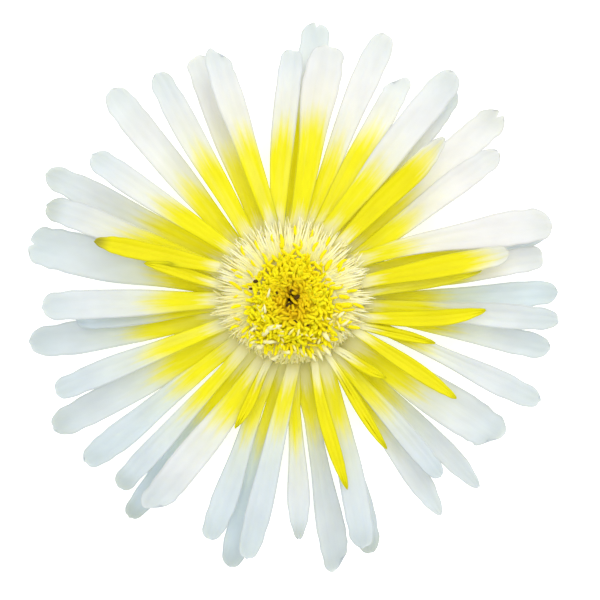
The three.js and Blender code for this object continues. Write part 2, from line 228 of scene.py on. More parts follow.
@dataclass(frozen=True)
class PetalTissue(Finish):
    """A thin, satin petal: water-filled cells over fine lengthwise veins, white to yellow to a pale foot.

    Attributes:
        warm_white: the white of the petals that face the light.
        cool_white: painted shade, the cooler and duller white of the petals that lie behind others or face
            away from the light.
        dark_tip: the dull green-grey of curled or bruised places.
        yellow: the full yellow.
        foot: the pale foot under the stamens.
        vein_gap: distance between veins.
        streak_shift: how far streaks move the yellow's end, from the least to the most.
        margin_shift: how much sooner the yellow ends at the margins.
        pale_streaks: how much of the yellow its paler streaks keep.
        paints: what the mesh has painted on its points.
    """

    warm_white: str = "#e7e7e6"
    cool_white: str = "#cddbe2"
    dark_tip: str = "#9aa38f"
    yellow: str = "#ece504"
    foot: str = "#f2eebc"
    vein_gap: float = 0.28
    streak_shift: float = 3.6
    margin_shift: float = 1.4
    pale_streaks: float = 0.94
    paints: tuple[str, ...] = tuple(
        "axis_mm across fade_mm foot_mm shade bruise vein_mm along_mm petal".split()
    )

    def weave(self, net: Weave) -> Socket:
        """Adds the nodes and returns the shader.

        Args:
            net: the material's nodes.

        Returns:
            The shader.
        """
        paint = {name: net.add("Attribute", out="Fac", attribute_name=name) for name in self.paints}
        place = net.add("CombineXYZ", {"X": paint["vein_mm"], "Y": paint["along_mm"], "Z": paint["petal"]})
        # Streaks a vein gap wide and some 8 mm long, which the yellow runs out along; bands three veins
        # wide, paler inside the yellow; broad blotches of faint painted shade
        grain = {}
        for name, scale, detail in (
            ("streak", (0.9 / self.vein_gap, 0.12, 7.0), 3.0),
            ("band", (0.3 / self.vein_gap, 0.07, 5.0), 2.0),
            ("blotch", (0.5, 0.22, 3.0), 2.0),
        ):
            stretched = net.add("Mapping", {"Scale": scale, "Vector": place})
            grain[name] = net.add("TexNoise", {"Scale": 1.0, "Detail": detail, "Vector": stretched}, "Fac")
        margin = net.add("Math", {0: paint["across"], 1: paint["across"]}, operation="MULTIPLY")
        shifted = net.add(
            "Math", {0: grain["streak"], 1: self.streak_shift, 2: paint["axis_mm"]}, operation="MULTIPLY_ADD"
        )
        ragged = net.add("Math", {0: margin, 1: self.margin_shift, 2: shifted}, operation="MULTIPLY_ADD")
        past_fade = net.add("Math", {0: ragged, 1: paint["fade_mm"]}, operation="SUBTRACT")
        past_foot = net.add("Math", {0: ragged, 1: paint["foot_mm"]}, operation="SUBTRACT")
        # The limits past the fade and the foot take the mean of both shifts off again
        share = {}
        # Of these, light, rim and far are painted shade: blotches, the margins and the far end darken the
        # colour
        for name, value, start, end, low, high, curve in (
            ("yellow", past_fade, 4.7, -0.1, 0.0, 1.0, SMOOTH),
            ("tail", past_fade, 8.2, 1.5, 0.0, 0.16, SMOOTH),
            ("foot", past_foot, 3.5, 1.1, 0.0, 1.0, SMOOTH),
            ("clear", grain["band"], 0.36, 0.56, self.pale_streaks, 1.0, EVEN),
            ("light", grain["blotch"], 0.35, 0.65, 0.94, 1.0, EVEN),
            ("rim", margin, 0.7, 1.0, 1.0, 0.84, SMOOTH),
            ("far", paint["axis_mm"], 18.5, 25.5, 1.0, 0.94, EVEN),
        ):
            limits = {"From Min": start, "From Max": end, "To Min": low, "To Max": high}
            share[name] = net.add("MapRange", {"Value": value, **limits}, interpolation_type=curve)
        spread = net.add("Math", {0: share["yellow"], 1: share["tail"]}, operation="MAXIMUM")
        streaked = net.add("Math", {0: spread, 1: share["clear"]}, operation="MULTIPLY")
        colour = linear(self.warm_white)
        # Painted shade: the white cools and dulls as far as the petal's shade says
        for tint, much in (
            (self.cool_white, paint["shade"]),
            (self.yellow, streaked),
            (self.foot, share["foot"]),
            (self.dark_tip, paint["bruise"]),
        ):
            colour = net.add("Mix", {0: much, MIX_A: colour, MIX_B: linear(tint)}, MIX_OUT, data_type="RGBA")
        # Painted shade: the blotches, the margins and the far end darken the colour a little
        duller = net.add("Math", {0: share["light"], 1: share["rim"]}, operation="MULTIPLY")
        darker = net.add("Math", {0: duller, 1: share["far"]}, operation="MULTIPLY")
        toned = net.add(
            "Mix", {0: 1.0, MIX_A: colour, MIX_B: darker}, MIX_OUT, data_type="RGBA", blend_type="MULTIPLY"
        )
        relief = net.add("Bump", {"Strength": 0.35, "Distance": 0.05 * MM, "Height": grain["streak"]})
        return net.add(
            "BsdfPrincipled",
            {
                "Base Color": toned,
                "Normal": relief,
                "Roughness": 0.5,
                "IOR": 1.38,
                "Specular IOR Level": 0.25,
                "Subsurface Weight": 0.45,
                "Subsurface Radius": (1.0, 0.9, 0.6),
                "Subsurface Scale": 0.5 * MM,
            },
            subsurface_method="RANDOM_WALK",
        )


@dataclass(frozen=True)
class StrandTissue(Finish):
    """Filament or anther tissue, from a deeper colour at the root to a lighter one at the end.

    Attributes:
        root: the colour low down, deeper as painted shade where little light gets in.
        end: the colour at the free end.
        relief: how strongly the grains stand out.
        roughness: how matt it is.
        grain: size of the surface grains, such as pollen.
        glow_depth: how much light passes through the tissue.
        reach: how far light gets in it.
    """

    root: str
    end: str
    relief: float
    roughness: float
    grain: float = 0.05
    glow_depth: float = 0.5
    reach: float = 0.1

    def weave(self, net: Weave) -> Socket:
        """Adds the nodes and returns the shader.

        Args:
            net: the material's nodes.

        Returns:
            The shader.
        """
        along = net.add("Attribute", out="Fac", attribute_name="along")
        vary = net.add("Attribute", out="Fac", attribute_name="vary")
        # Painted shade: the colour deepens towards the root, where little light gets in
        blend = net.add("Math", {0: along, 1: vary}, operation="MULTIPLY")
        ends = {MIX_A: linear(self.root), MIX_B: linear(self.end)}
        colour = net.add("Mix", {0: blend, **ends}, MIX_OUT, data_type="RGBA")
        place = net.add("TexCoord", out="Object")
        grains = net.add("TexNoise", {"Scale": 1 / (self.grain * MM), "Detail": 2.0, "Vector": place}, "Fac")
        relief = net.add("Bump", {"Strength": self.relief, "Distance": 0.03 * MM, "Height": grains})
        return net.add(
            "BsdfPrincipled",
            {
                "Base Color": colour,
                "Normal": relief,
                "Roughness": self.roughness,
                "IOR": 1.4,
                "Specular IOR Level": 0.3,
                "Subsurface Weight": self.glow_depth,
                "Subsurface Radius": (1.0, 0.9, 0.4),
                "Subsurface Scale": self.reach * MM,
            },
            subsurface_method="RANDOM_WALK",
        )


@dataclass(frozen=True)
class FleshySkin(Finish):
    """The calyx's green skin, covered in tiny water cells that glisten.

    Attributes:
        low: the green towards the scar.
        high: the lighter green at the rim and on the sepals.
        blush: the red that sepal tips take in the sun.
        cell: size of a water cell.
        mottle: size of the mottling.
    """

    low: str = "#5f7c35"
    high: str = "#97ad57"
    blush: str = "#a9584a"
    cell: float = 0.16
    mottle: float = 1.6

    def weave(self, net: Weave) -> Socket:
        """Adds the nodes and returns the shader.

        Args:
            net: the material's nodes.

        Returns:
            The shader.
        """
        place = net.add("TexCoord", out="Object")
        axes = net.add("SeparateXYZ", {"Vector": place}).node.outputs
        flat = net.add("CombineXYZ", {"X": axes["X"], "Y": axes["Y"]})
        away = net.add("VectorMath", {0: flat}, "Value", operation="LENGTH")
        rise = net.add("MapRange", {"Value": axes["Z"], "From Min": 0.5 * MM, "From Max": RIM_HEIGHT * MM})
        greens = {MIX_A: linear(self.low), MIX_B: linear(self.high)}
        green = net.add("Mix", {0: rise, **greens}, MIX_OUT, data_type="RGBA")
        blotches = {"Scale": 1 / (self.mottle * MM), "Detail": 3.0, "Vector": place}
        mottle = net.add("TexNoise", blotches, "Color")
        mottled = net.add(
            "Mix", {0: 0.14, MIX_A: green, MIX_B: mottle}, MIX_OUT, data_type="RGBA", blend_type="OVERLAY"
        )
        limits = {"From Min": 9.2 * MM, "From Max": 12.4 * MM, "To Max": 0.75}
        tip = net.add("MapRange", {"Value": away, **limits}, interpolation_type=SMOOTH)
        blush = {MIX_A: mottled, MIX_B: linear(self.blush)}
        blushed = net.add("Mix", {0: tip, **blush}, MIX_OUT, data_type="RGBA")
        cells = net.add(
            "TexVoronoi",
            {"Scale": 1 / (self.cell * MM), "Smoothness": 0.4, "Vector": place},
            "Distance",
            feature="SMOOTH_F1",
        )
        domes = net.add("MapRange", {"Value": cells, "From Max": 0.8, "To Min": 1.0, "To Max": 0.0})
        relief = net.add("Bump", {"Strength": 0.6, "Distance": 0.06 * MM, "Height": domes})
        return net.add(
            "BsdfPrincipled",
            {
                "Base Color": blushed,
                "Normal": relief,
                "Roughness": 0.32,
                "IOR": 1.4,
                "Specular IOR Level": 0.5,
                "Subsurface Weight": 0.15,
                "Subsurface Radius": (0.5, 1.0, 0.3),
                "Subsurface Scale": 0.6 * MM,
            },
            subsurface_method="RANDOM_WALK",
        )


@dataclass(frozen=True)
class CutStalk(Finish):
    """The torn stalk: pale pith, a ring of darker water vessels, and a brown dried edge.

    Attributes:
        pith: the colour in the middle.
        vessels: the colour of the ring of vessels.
        edge: the colour of the dried edge.
        radius: the scar's radius.
        fibre: width of a fibre.
    """

    pith: str = "#a8ab6a"
    vessels: str = "#6f6a38"
    edge: str = "#6b4a2c"
    radius: float = 2.3
    fibre: float = 0.35

    def weave(self, net: Weave) -> Socket:
        """Adds the nodes and returns the shader.

        Args:
            net: the material's nodes.

        Returns:
            The shader.
        """
        place = net.add("TexCoord", out="Object")
        away = net.add("VectorMath", {0: place}, "Value", operation="LENGTH")
        colour = linear(self.pith)
        for tint, start, end in ((self.vessels, 0.45, 0.65), (self.edge, 0.72, 0.98)):
            limits = {"From Min": start * self.radius * MM, "From Max": end * self.radius * MM}
            much = net.add("MapRange", {"Value": away, **limits}, interpolation_type=SMOOTH)
            colour = net.add("Mix", {0: much, MIX_A: colour, MIX_B: linear(tint)}, MIX_OUT, data_type="RGBA")
        fibres = net.add("TexVoronoi", {"Scale": 1 / (self.fibre * MM), "Vector": place}, "Distance")
        relief = net.add("Bump", {"Strength": 0.7, "Distance": 0.1 * MM, "Height": fibres})
        surface = {"Base Color": colour, "Normal": relief, "Roughness": 0.8, "IOR": 1.45}
        return net.add("BsdfPrincipled", surface)


@dataclass(frozen=True)
class LightTable(Finish):
    """The floor: white acrylic, sanded matt and softly lit from below, as for a product photograph.

    Attributes:
        colour: its white.
        glow: how bright it is lit from below.
    """

    colour: str = "#f4f5f5"
    glow: float = 0.5

    def weave(self, net: Weave) -> Socket:
        """Adds the nodes and returns the shader.

        Args:
            net: the material's nodes.

        Returns:
            The shader.
        """
        white = linear(self.colour)
        surface = {"Base Color": white, "Roughness": 0.8, "Specular IOR Level": 0.1}
        lit = {"Emission Color": white, "Emission Strength": self.glow}
        return net.add("BsdfPrincipled", {**surface, **lit})


# Meshes


@dataclass
class Draft:
    """A mesh in the making, in millimetres.

    Attributes:
        points: blocks of points.
        faces: faces, as places in the list of all points.
        finish: which finish each face takes.
        paint: what is painted on the points, one list of blocks for each name.
    """

    points: list[Array] = field(default_factory=list)
    faces: list[Face] = field(default_factory=list)
    finish: list[int] = field(default_factory=list)
    paint: dict[str, list[Array]] = field(default_factory=dict)

    def add(self, points: Array, faces: Sequence[Face], finish: int = 0, **paint: Array | float) -> None:
        """Adds a closed form.

        Args:
            points: its points, one a row.
            faces: its faces, as places in its own points.
            finish: which of the piece's finishes it takes.
            paint: values for each point, or one for all, by name.
        """
        start = sum(len(block) for block in self.points)
        self.points.append(points)
        self.faces.extend(tuple(start + k for k in face) for face in faces)
        self.finish.extend([finish] * len(faces))
        for name, values in paint.items():
            self.paint.setdefault(name, []).append(np.broadcast_to(values, len(points)).astype(np.float32))

    def strand(
        self, path: Array, radii: Array, sides: int, vary: float, from_share: float = 0.0
    ) -> None:
        """Adds a round thread, painted along its length.

        Args:
            path: points along its middle.
            radii: its radius at each point.
            sides: how many points go round.
            vary: how pale it is, from 0 to 1.
            from_share: how pale its root already is, as a share.
        """
        points, faces = tube(path, radii, sides)
        along = np.repeat(np.linspace(from_share, 1, len(path)), sides)
        self.add(points, faces, along=along, vary=vary)

    def build(self, name: str, finishes: Sequence[Finish]) -> bpy.types.Object:
        """Makes the object.

        Args:
            name: the piece's name.
            finishes: its finishes, in the order that the faces use.

        Returns:
            The object, smooth shaded, linked to the scene.
        """
        mesh = bpy.data.meshes.new(name)
        points = np.concatenate(self.points) * MM
        mesh.from_pydata(points.tolist(), [], self.faces)
        mesh.polygons.foreach_set("use_smooth", [True] * len(mesh.polygons))
        for finish in finishes:
            mesh.materials.append(finish.material())
        mesh.polygons.foreach_set("material_index", self.finish)
        for label, blocks in self.paint.items():
            layer = mesh.attributes.new(label, "FLOAT", "POINT")
            layer.data.foreach_set("value", np.concatenate(blocks))
        mesh.validate()
        piece = bpy.data.objects.new(name, mesh)
        bpy.context.scene.collection.objects.link(piece)
        return piece


def skin_faces(rows: int, around: int) -> list[Face]:
    """Gives the faces of an open tube over rows of points.

    Args:
        rows: how many rows.
        around: how many points in each row, in a ring.

    Returns:
        Four-sided faces that look outwards.
    """
    faces = []
    for i in range(rows - 1):
        near, far = i * around, (i + 1) * around
        for k in range(around):
            after = (k + 1) % around
            faces.append((near + k, far + k, far + after, near + after))
    return faces


def closed_faces(rows: int, around: int) -> list[Face]:
    """Gives the faces of a tube that one face closes at each end.

    Args:
        rows: how many rows.
        around: how many points in each row, in a ring.

    Returns:
        Faces that look outwards.
    """
    last = (rows - 1) * around
    ends = [tuple(range(around)), tuple(last + k for k in reversed(range(around)))]
    return skin_faces(rows, around) + ends


def ring_faces(rows: int, around: int) -> list[Face]:
    """Gives the faces of a closed ring, whose outline is rows of points that come back to the first.

    Args:
        rows: how many rows.
        around: how many points in each row, counter-clockwise from above.

    Returns:
        Four-sided faces that look outwards where the outline runs counter-clockwise, out and then up.
    """
    faces = []
    for i in range(rows):
        near, far = i * around, (i + 1) % rows * around
        for k in range(around):
            after = (k + 1) % around
            faces.append((near + k, near + after, far + after, far + k))
    return faces


def flipped(faces: Sequence[Face]) -> list[Face]:
    """Gives the faces turned over."""
    return [tuple(reversed(face)) for face in faces]


def directions(around: int) -> Array:
    """Gives evenly spaced directions round the axis."""
    return 360 * np.arange(around) / around


def turned(radii: Array, heights: Array) -> Array:
    """Gives rings of points round the axis.

    Args:
        radii: distances from the axis, one row for each ring and one column for each direction.
        heights: the heights, in the same way, or one for each ring.

    Returns:
        The points, one a row.
    """
    return polar(radii, directions(radii.shape[1]), heights).reshape(-1, 3)


def tube(
    path: Array, radii: Array, sides: int, lobes: float = 0.0, turn: float = 0.0
) -> tuple[Array, list[Face]]:
    """Makes a closed round skin along a path.

    Args:
        path: points along the middle.
        radii: the radius at each point.
        sides: how many points go round.
        lobes: how much two sides swell and the others shrink, as a share.
        turn: where the first lobe lies, in degrees.

    Returns:
        The points and the faces.
    """
    along = np.gradient(path, axis=0)
    along /= np.linalg.norm(along, axis=1)[:, None]
    side = np.cross(along[0], [0.31, 0.17, 0.94])
    side = unit(side if np.linalg.norm(side) > 0.05 else np.cross(along[0], [1.0, 0.0, 0.0]))
    angles = np.linspace(0, 2 * math.pi, sides, endpoint=False)
    swell = 1 + lobes * np.cos(2 * angles - 2 * math.radians(turn))
    rings = []
    for centre, heading, radius in zip(path, along, radii):
        side = unit(side - heading * np.dot(side, heading))
        other = np.cross(side, heading)
        ring = np.outer(np.cos(angles) * swell, side) + np.outer(np.sin(angles) * swell, other)
        rings.append(centre + radius * ring)
    return np.concatenate(rings), closed_faces(len(path), sides)


def bend_path(root: Array, bend: Array, end: Array, steps: int) -> Array:
    """Gives points on a curve that leaves the root towards a bend and comes to an end.

    Args:
        root: where it starts.
        bend: the point that pulls the curve.
        end: where it ends.
        steps: how many points.

    Returns:
        The points.
    """
    t = np.linspace(0, 1, steps)[:, None]
    return (1 - t) ** 2 * root + 2 * t * (1 - t) * bend + t * t * end


def settle(piece: bpy.types.Object, slot: str, *nodes: str) -> None:
    """Puts a piece in the place of solids, on the flower's one body.

    Args:
        piece: the piece.
        slot: the record's material slot; not used.
        nodes: the solids that it stands for.
    """
    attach(piece, BODY)
    if nodes:
        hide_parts(*nodes)
    LOG.info("%s: %d faces", piece.name, len(piece.data.polygons))


# Petals


@dataclass(frozen=True)
class TipShape:
    """How a petal ends.

    Attributes:
        closes_from: where along it the sides start to close.
        blunt: how wide the end itself still is, as a share.
        taper: how much narrower it grows from its widest place to its end.
        corner: how far the corners are rounded back.
        notch: how far the middle is cut in.
        slant: how much shorter the counter-clockwise edge is, or the other one if it is negative.
    """

    closes_from: float
    blunt: float
    corner: float
    taper: float
    notch: float = 0.0
    slant: float = 0.0

    def stations(self, count: int) -> Array:
        """Gives places along the petal, closer together where the end closes.

        Args:
            count: how many.

        Returns:
            The places, from 0 to 1.
        """
        closing = count // 3
        sides = np.linspace(0, self.closes_from, count - closing, endpoint=False)
        end = np.sin(np.linspace(0, math.pi / 2, closing))
        return np.append(sides, self.closes_from + (1 - self.closes_from) * end)

    def half_width(self, along: Array) -> Array:
        """Gives the half width as a share of the widest, at places along the petal."""
        broad = 0.5 + 0.5 * np.sin(np.clip(along / 0.78, 0, 1) * math.pi / 2) ** 1.4
        broad = broad * (1 - self.taper * smooth(0.74, 1.02, along))
        closing = np.clip((along - self.closes_from) / (1 - self.closes_from), 0, 1)
        return broad * (self.blunt + (1 - self.blunt) * np.sqrt(1 - closing**2.2))

    def pulled_back(self, across: Array) -> Array:
        """Gives how far the end stays short of the reach, at places across the petal."""
        corner = self.corner * np.abs(across) ** 2.5
        notch = self.notch * np.clip(1 - np.abs(across) / 0.4, 0, 1) ** 1.3
        slant = abs(self.slant) * ((1 + math.copysign(1, self.slant) * across) / 2) ** 1.5
        return corner + notch + slant


class Tip(Enum):
    """The forms that petal tips take."""

    ROUND = TipShape(0.925, 0.28, 0.15, 0.15)
    FLAT = TipShape(0.945, 0.55, 0.25, 0.1)
    NOTCHED = TipShape(0.93, 0.45, 0.25, 0.12, notch=0.5)
    SLANTED = TipShape(0.93, 0.4, 0.2, 0.12, slant=1.1)
    SLANTED_BACK = TipShape(0.93, 0.4, 0.2, 0.12, slant=-1.1)
    TAPERED = TipShape(0.84, 0.16, 0.1, 0.35)
    POINTED = TipShape(0.5, 0.06, 0.05, 0.2)


@dataclass(frozen=True)
class Petal:
    """One petal, as it lies in the flower.

    Attributes:
        tip: direction of its tip.
        foot: direction of its foot.
        reach: distance from the axis to the tip.
        width: its widest.
        form: how it ends.
        fade: distance from the axis where its yellow has half gone.
        shade: how much painted shade cools and dulls its white, from 0 to 1.
        bow: how far its middle is off the straight line, counter-clockwise.
        bruise: how dark and greenish its tip is, from 0 to 1.
        waist: how much narrower its lower half is than usual, as a share.
    """

    tip: float
    foot: float
    reach: float
    width: float
    form: Tip
    fade: float
    shade: float = 0.4
    bow: float = 0.0
    bruise: float = 0.0
    waist: float = 0.0


ALL_YELLOW = 40.0
R, F, N, S = Tip.ROUND, Tip.FLAT, Tip.NOTCHED, Tip.SLANTED
B, T, P = Tip.SLANTED_BACK, Tip.TAPERED, Tip.POINTED

OUTER_PETALS = (
    Petal(1.5, -1, 25.3, 2.6, R, 14, 0.75, waist=0.3),
    Petal(14.5, 20.5, 25, 2.2, R, 16.5, 0.5),
    Petal(41.6, 41.6, 26.7, 3.1, N, 15, 0.0, bruise=0.1),
    Petal(52, 52, 25.3, 2.3, R, 16, 0.25),
    Petal(84.8, 88.5, 26.5, 3, N, 18, 0.35),
    Petal(111.5, 114.8, 24.9, 2.6, F, 15, 0.05),
    Petal(131, 136.3, 26.4, 3, R, 14.5, 0.2, waist=0.05),
    Petal(152.9, 150, 26.3, 2.8, R, 15.5, 0.35, bruise=0.1, waist=0.08),
    Petal(168, 168.4, 25.6, 4.1, N, 13.3, 0.55),
    Petal(189.4, 193.5, 25.4, 3.2, R, 15.5, 0.6),
    Petal(208.3, 211.2, 25.9, 3, R, 14.5, 0.55, bruise=0.12),
    Petal(233.2, 233, 26, 2.4, R, 14.5, 0.9, bruise=0.25),
    Petal(257, 263.5, 26.2, 2.6, R, 14, 0.85, -0.25, 0.12, 0.15),
    Petal(279.5, 279.4, 26.4, 2.8, S, 12.8, 0.5, waist=0.3),
    Petal(287.3, 290, 25.3, 2.6, R, 13, 0.7, 0.2, 0.25, 0.1),
    Petal(314.8, 315.7, 25.3, 2.2, T, 13.8, 0.45, waist=0.1),
    Petal(349, 350.6, 25, 2.6, R, 15.5, 0.5, waist=0.3),
)
MIDDLE_PETALS = (
    Petal(9.6, 9, 24.2, 2.5, F, 17, 0.05),
    Petal(35.3, 33.5, 24.1, 2.5, R, 13.8, 0.0),
    Petal(63.4, 68.3, 23.9, 2.5, S, 17.6, 0.1),
    Petal(70.4, 77.6, 26.8, 2.8, R, 15, 0.1, 0.2, waist=0.2),
    Petal(120.9, 125.2, 25, 2.6, R, 16.5, 0.25, waist=0.03),
    Petal(159.2, 158, 25, 2.8, R, 16.6, 0.3, bruise=0.3, waist=0.15),
    Petal(185.5, 186, 20.6, 2, R, 13.3, 0.7),
    Petal(218.4, 218, 25.1, 2.7, R, 13.8, 0.75, waist=0.15),
    Petal(250.9, 253, 24.1, 2.5, R, 13.6, 0.7, waist=0.22),
    Petal(271.6, 272, 22.8, 2.25, T, 13.9, 0.4, bruise=0.2, waist=0.3),
    Petal(304.6, 305.8, 24.9, 2.4, T, 14.6, 0.45, waist=0.2),
    Petal(326, 323.5, 24.1, 4, B, 14.8, 0.45, 0.15),
    Petal(355.5, 355, 25.4, 2.4, R, 14.5, 0.45, waist=0.1),
)
INNER_PETALS = (
    Petal(8.5, 5, 18.1, 1.4, P, ALL_YELLOW),
    Petal(16.3, 27.6, 25.7, 3.5, R, 12.4, 0.0, 0.55, waist=0.32),
    Petal(54.2, 62.3, 26.5, 3, R, 14.8, 0.15),
    Petal(81.8, 85.8, 24.3, 3.6, F, 17.3, 0.0, waist=0.27),
    Petal(89.9, 98.8, 23.7, 2.4, F, 16.4, 0.2, 0.3),
    Petal(107.4, 105, 25.2, 2.7, B, 16.4, 0.15, waist=0.12),
    Petal(144.4, 141.5, 23.4, 2.6, R, 15.1, 0.3, waist=0.15),
    Petal(181.8, 180.5, 23.8, 2.9, R, 13.3, 0.45, waist=0.05),
    Petal(201.5, 199.8, 24.1, 2.4, F, 14.8, 0.65, waist=0.1),
    Petal(227.4, 226, 24.3, 2.2, F, 14.3, 0.7, 0.1, 0.2, 0.16),
    Petal(235.6, 243, 24.4, 3.1, S, 13.5, 0.3, 0.25),
    Petal(260, 269, 25, 2.4, R, 12.3, 0.7, waist=0.04),
    Petal(286.2, 294, 24.6, 2.6, R, 13.5, 0.6, 0.35, waist=0.1),
    Petal(309.9, 309, 22, 2, R, 13.6, 0.6, waist=0.1),
    Petal(337.5, 340.8, 25.5, 2.4, R, 13.3, 0.45, 0.28, waist=0.3),
)
YELLOW_PETALS = (
    Petal(12, 13, 21, 2.1, R, 18.9, 0.0),
    Petal(46.5, 48, 21, 2.2, T, 18.6, 0.0),
    Petal(163.6, 156.5, 19.5, 1.85, T, ALL_YELLOW, bruise=0.65),
    Petal(246.3, 249, 13.4, 1.1, P, ALL_YELLOW),
    Petal(286.2, 291, 18.8, 1.35, P, ALL_YELLOW, bow=-0.55),
    Petal(302.3, 302, 16.8, 1.05, P, ALL_YELLOW),
    Petal(320, 314, 11.7, 1.1, P, ALL_YELLOW),
    Petal(328.8, 332.5, 18.2, 1.55, P, ALL_YELLOW, bow=0.1),
    Petal(342.9, 339.5, 14.2, 1.0, P, ALL_YELLOW),
    Petal(356.7, 348, 18.4, 1.65, P, ALL_YELLOW, bow=-0.5),
    Petal(166.3, 167.5, 14.4, 1.3, P, ALL_YELLOW),
)


@dataclass
class PetalRow:
    """A row of petals, grown together on the calyx rim.

    Attributes:
        name: the piece's name.
        node: the solid that it stands for.
        slot: the record's material slot.
        row: 0 for the lowest row, up to 3.
        petals: the petals in it.
        tissue: their finish.
        longer: what each petal gains in reach, as the lower rows lie further from the camera.
        steps: how many points along a petal.
        columns: how many points across one face.
        thickness: how thick a petal is in the middle.
        stagger: how much higher or lower than the next a petal starts.
        cup: how deep a petal is hollowed.
        fold: how deep its lengthwise folds are.
        claw: how far from its foot it comes up to its height.
        seed: seed of the small differences.
    """

    name: str
    node: str
    slot: str
    row: int
    petals: Sequence[Petal]
    tissue: PetalTissue
    longer: float = 0.0
    steps: int = 64
    columns: int = 17
    thickness: float = 0.3
    stagger: float = 0.16
    cup: float = 0.26
    fold: float = 0.035
    claw: float = 2.2
    seed: int = 40

    def height(self, x: Array, y: Array) -> Array:
        """Gives the height of the row's middle surface, as the solids have it.

        Args:
            x: places along +X.
            y: places along +Y.

        Returns:
            The heights.
        """
        share = (np.hypot(x, y) - RING_OUTER) / (FLOWER_RADIUS - RING_OUTER)
        angle = np.arctan2(y, x)
        wave = 0.6 * np.sin(3 * angle + 0.7) + 0.4 * np.sin(5 * angle + 2.1)
        spread = ARCH_RISE + ROW_SPREAD * self.row + WAVE * wave
        return RIM_HEIGHT + (self.row + 0.5) * RING_HEIGHT + share * spread - ARCH_DROP * share**2

    def surface(self, petal: Petal, place: int, along: Array, across: Array) -> tuple[Array, Array]:
        """Gives a petal's middle surface.

        Args:
            petal: the petal.
            place: its place in the row.
            along: a grid of places along it.
            across: a grid of places across it.

        Returns:
            The points, and how thick the petal is at each.
        """
        random = np.random.default_rng(1000 * self.seed + 50 * self.row + place)
        foot, tip = polar(FOOT_RADIUS, petal.foot)[:2], polar(petal.reach + self.longer, petal.tip)[:2]
        heading = unit(tip - foot)
        aside = np.array([-heading[1], heading[0]])
        start = foot - heading * (FOOT_SUNK - 0.4 + 0.25 * self.row)
        length = float(np.linalg.norm(tip - start))
        shape = petal.form.value
        # The outline: wavy edges, a waist, a bow with a little sway, and the tip's own form
        side = (across > 0).astype(int)
        edge_wave = 0.03 * np.sin(along * random.uniform(9, 15) + random.uniform(0, 6, 2)[side])
        edge_wave = edge_wave + 0.045 * smooth(0.7, 0.95, along) * np.sin(
            along * random.uniform(45, 70) + random.uniform(0, 6, 2)[side]
        )
        later = 0.13 * lower_side(petal.foot)
        slim = petal.waist * smooth(0.02 + later, 0.18 + later, along) * (1 - smooth(0.45, 0.85, along))
        half = 0.5 * petal.width * shape.half_width(along) * (1 + edge_wave) * (1 - slim)
        sway = random.uniform(-0.12, 0.12) * np.sin(2 * math.pi * along)
        off = petal.bow * 4 * along * (1 - along) + sway + across * half
        ragged = random.uniform(0.02, 0.08)
        ragged = ragged * (1 + np.sin(across * random.uniform(3, 6) + random.uniform(0, 6)))
        run = along * length - (shape.pulled_back(across) + ragged) * smooth(0.8, 1.0, along)
        x = start[0] + run * heading[0] + off * aside[0]
        y = start[1] + run * heading[1] + off * aside[1]
        # The height: staggered feet, a long wave, a hollow, a twist, folds and a tip that droops or lifts
        z = self.height(x, y) + (place % 3 - 1) * self.stagger * (1 - smooth(0.3, 0.8, along))
        z = z + random.uniform(-0.22, 0.22) * along**2
        z = z + 0.09 * np.sin(2 * math.pi * (random.uniform(1.0, 1.8) * along + random.random()))
        z = z - self.cup * (1 - across**2) * shape.half_width(along) * smooth(0.05, 0.6, along)
        z = z + across * half * math.tan(math.radians(random.uniform(-9, 9))) * smooth(0.2, 0.9, along)
        folds = np.cos(2 * math.pi * (across * 1.5 + random.uniform(-0.15, 0.15)))
        z = z + self.fold * folds * (1 - across**4) * smooth(0.1, 0.4, along)
        z = z + random.uniform(-0.5, 0.25) * smooth(0.84, 1.0, along) ** 2
        risen = 1 - np.clip(1 - run / self.claw, 0, 1) ** 3
        z = RIM_HEIGHT + (z - RIM_HEIGHT) * risen
        # The thickness: less at the edges, and least at the tip
        thick = self.thickness * (0.35 + 0.65 * np.sqrt(1 - 0.96 * across**2))
        thick = thick * (1 - 0.45 * smooth(0.7, 1, along))
        thick = thick * (0.12 + 0.88 * np.sqrt(np.clip((1 - along) * length / 0.45, 0, 1)))
        return np.stack([x, y, z], axis=-1), thick

    def blade(self, petal: Petal, place: int, draft: Draft) -> None:
        """Adds one petal.

        Args:
            petal: the petal.
            place: its place in the row.
            draft: the mesh in the making.
        """
        along_1d = petal.form.value.stations(self.steps)
        across_1d = np.sin(np.linspace(-1, 1, self.columns) * math.pi / 2)
        along, across = np.meshgrid(along_1d, across_1d, indexing="ij")
        middle, thick = self.surface(petal, place, along, across)
        normal = np.cross(np.gradient(middle, axis=0), np.gradient(middle, axis=1))
        normal /= np.maximum(np.linalg.norm(normal, axis=-1, keepdims=True), 1e-9)
        upper = middle + normal * thick[..., None] / 2
        lower = middle - normal * thick[..., None] / 2
        edges = (across == across_1d[0]) | (across == across_1d[-1])
        upper[edges] = middle[edges]
        around = 2 * (self.columns - 1)
        rings = np.concatenate([upper, lower[:, -2:0:-1]], axis=1)
        side = np.concatenate([across, across[:, -2:0:-1]], axis=1)
        length = np.concatenate([along, along[:, -2:0:-1]], axis=1)
        points = rings.reshape(-1, 3)
        faces = skin_faces(self.steps, around)
        last = (self.steps - 1) * around
        for k in range(self.columns - 1):
            strip = [k, k + 1, (around - k - 1) % around, (around - k) % around]
            ends = list(dict.fromkeys(strip))
            faces.append(tuple(ends))
            faces.append(tuple(last + n for n in reversed(ends)))
        tip_share = smooth(0.88, 0.99, length).ravel()
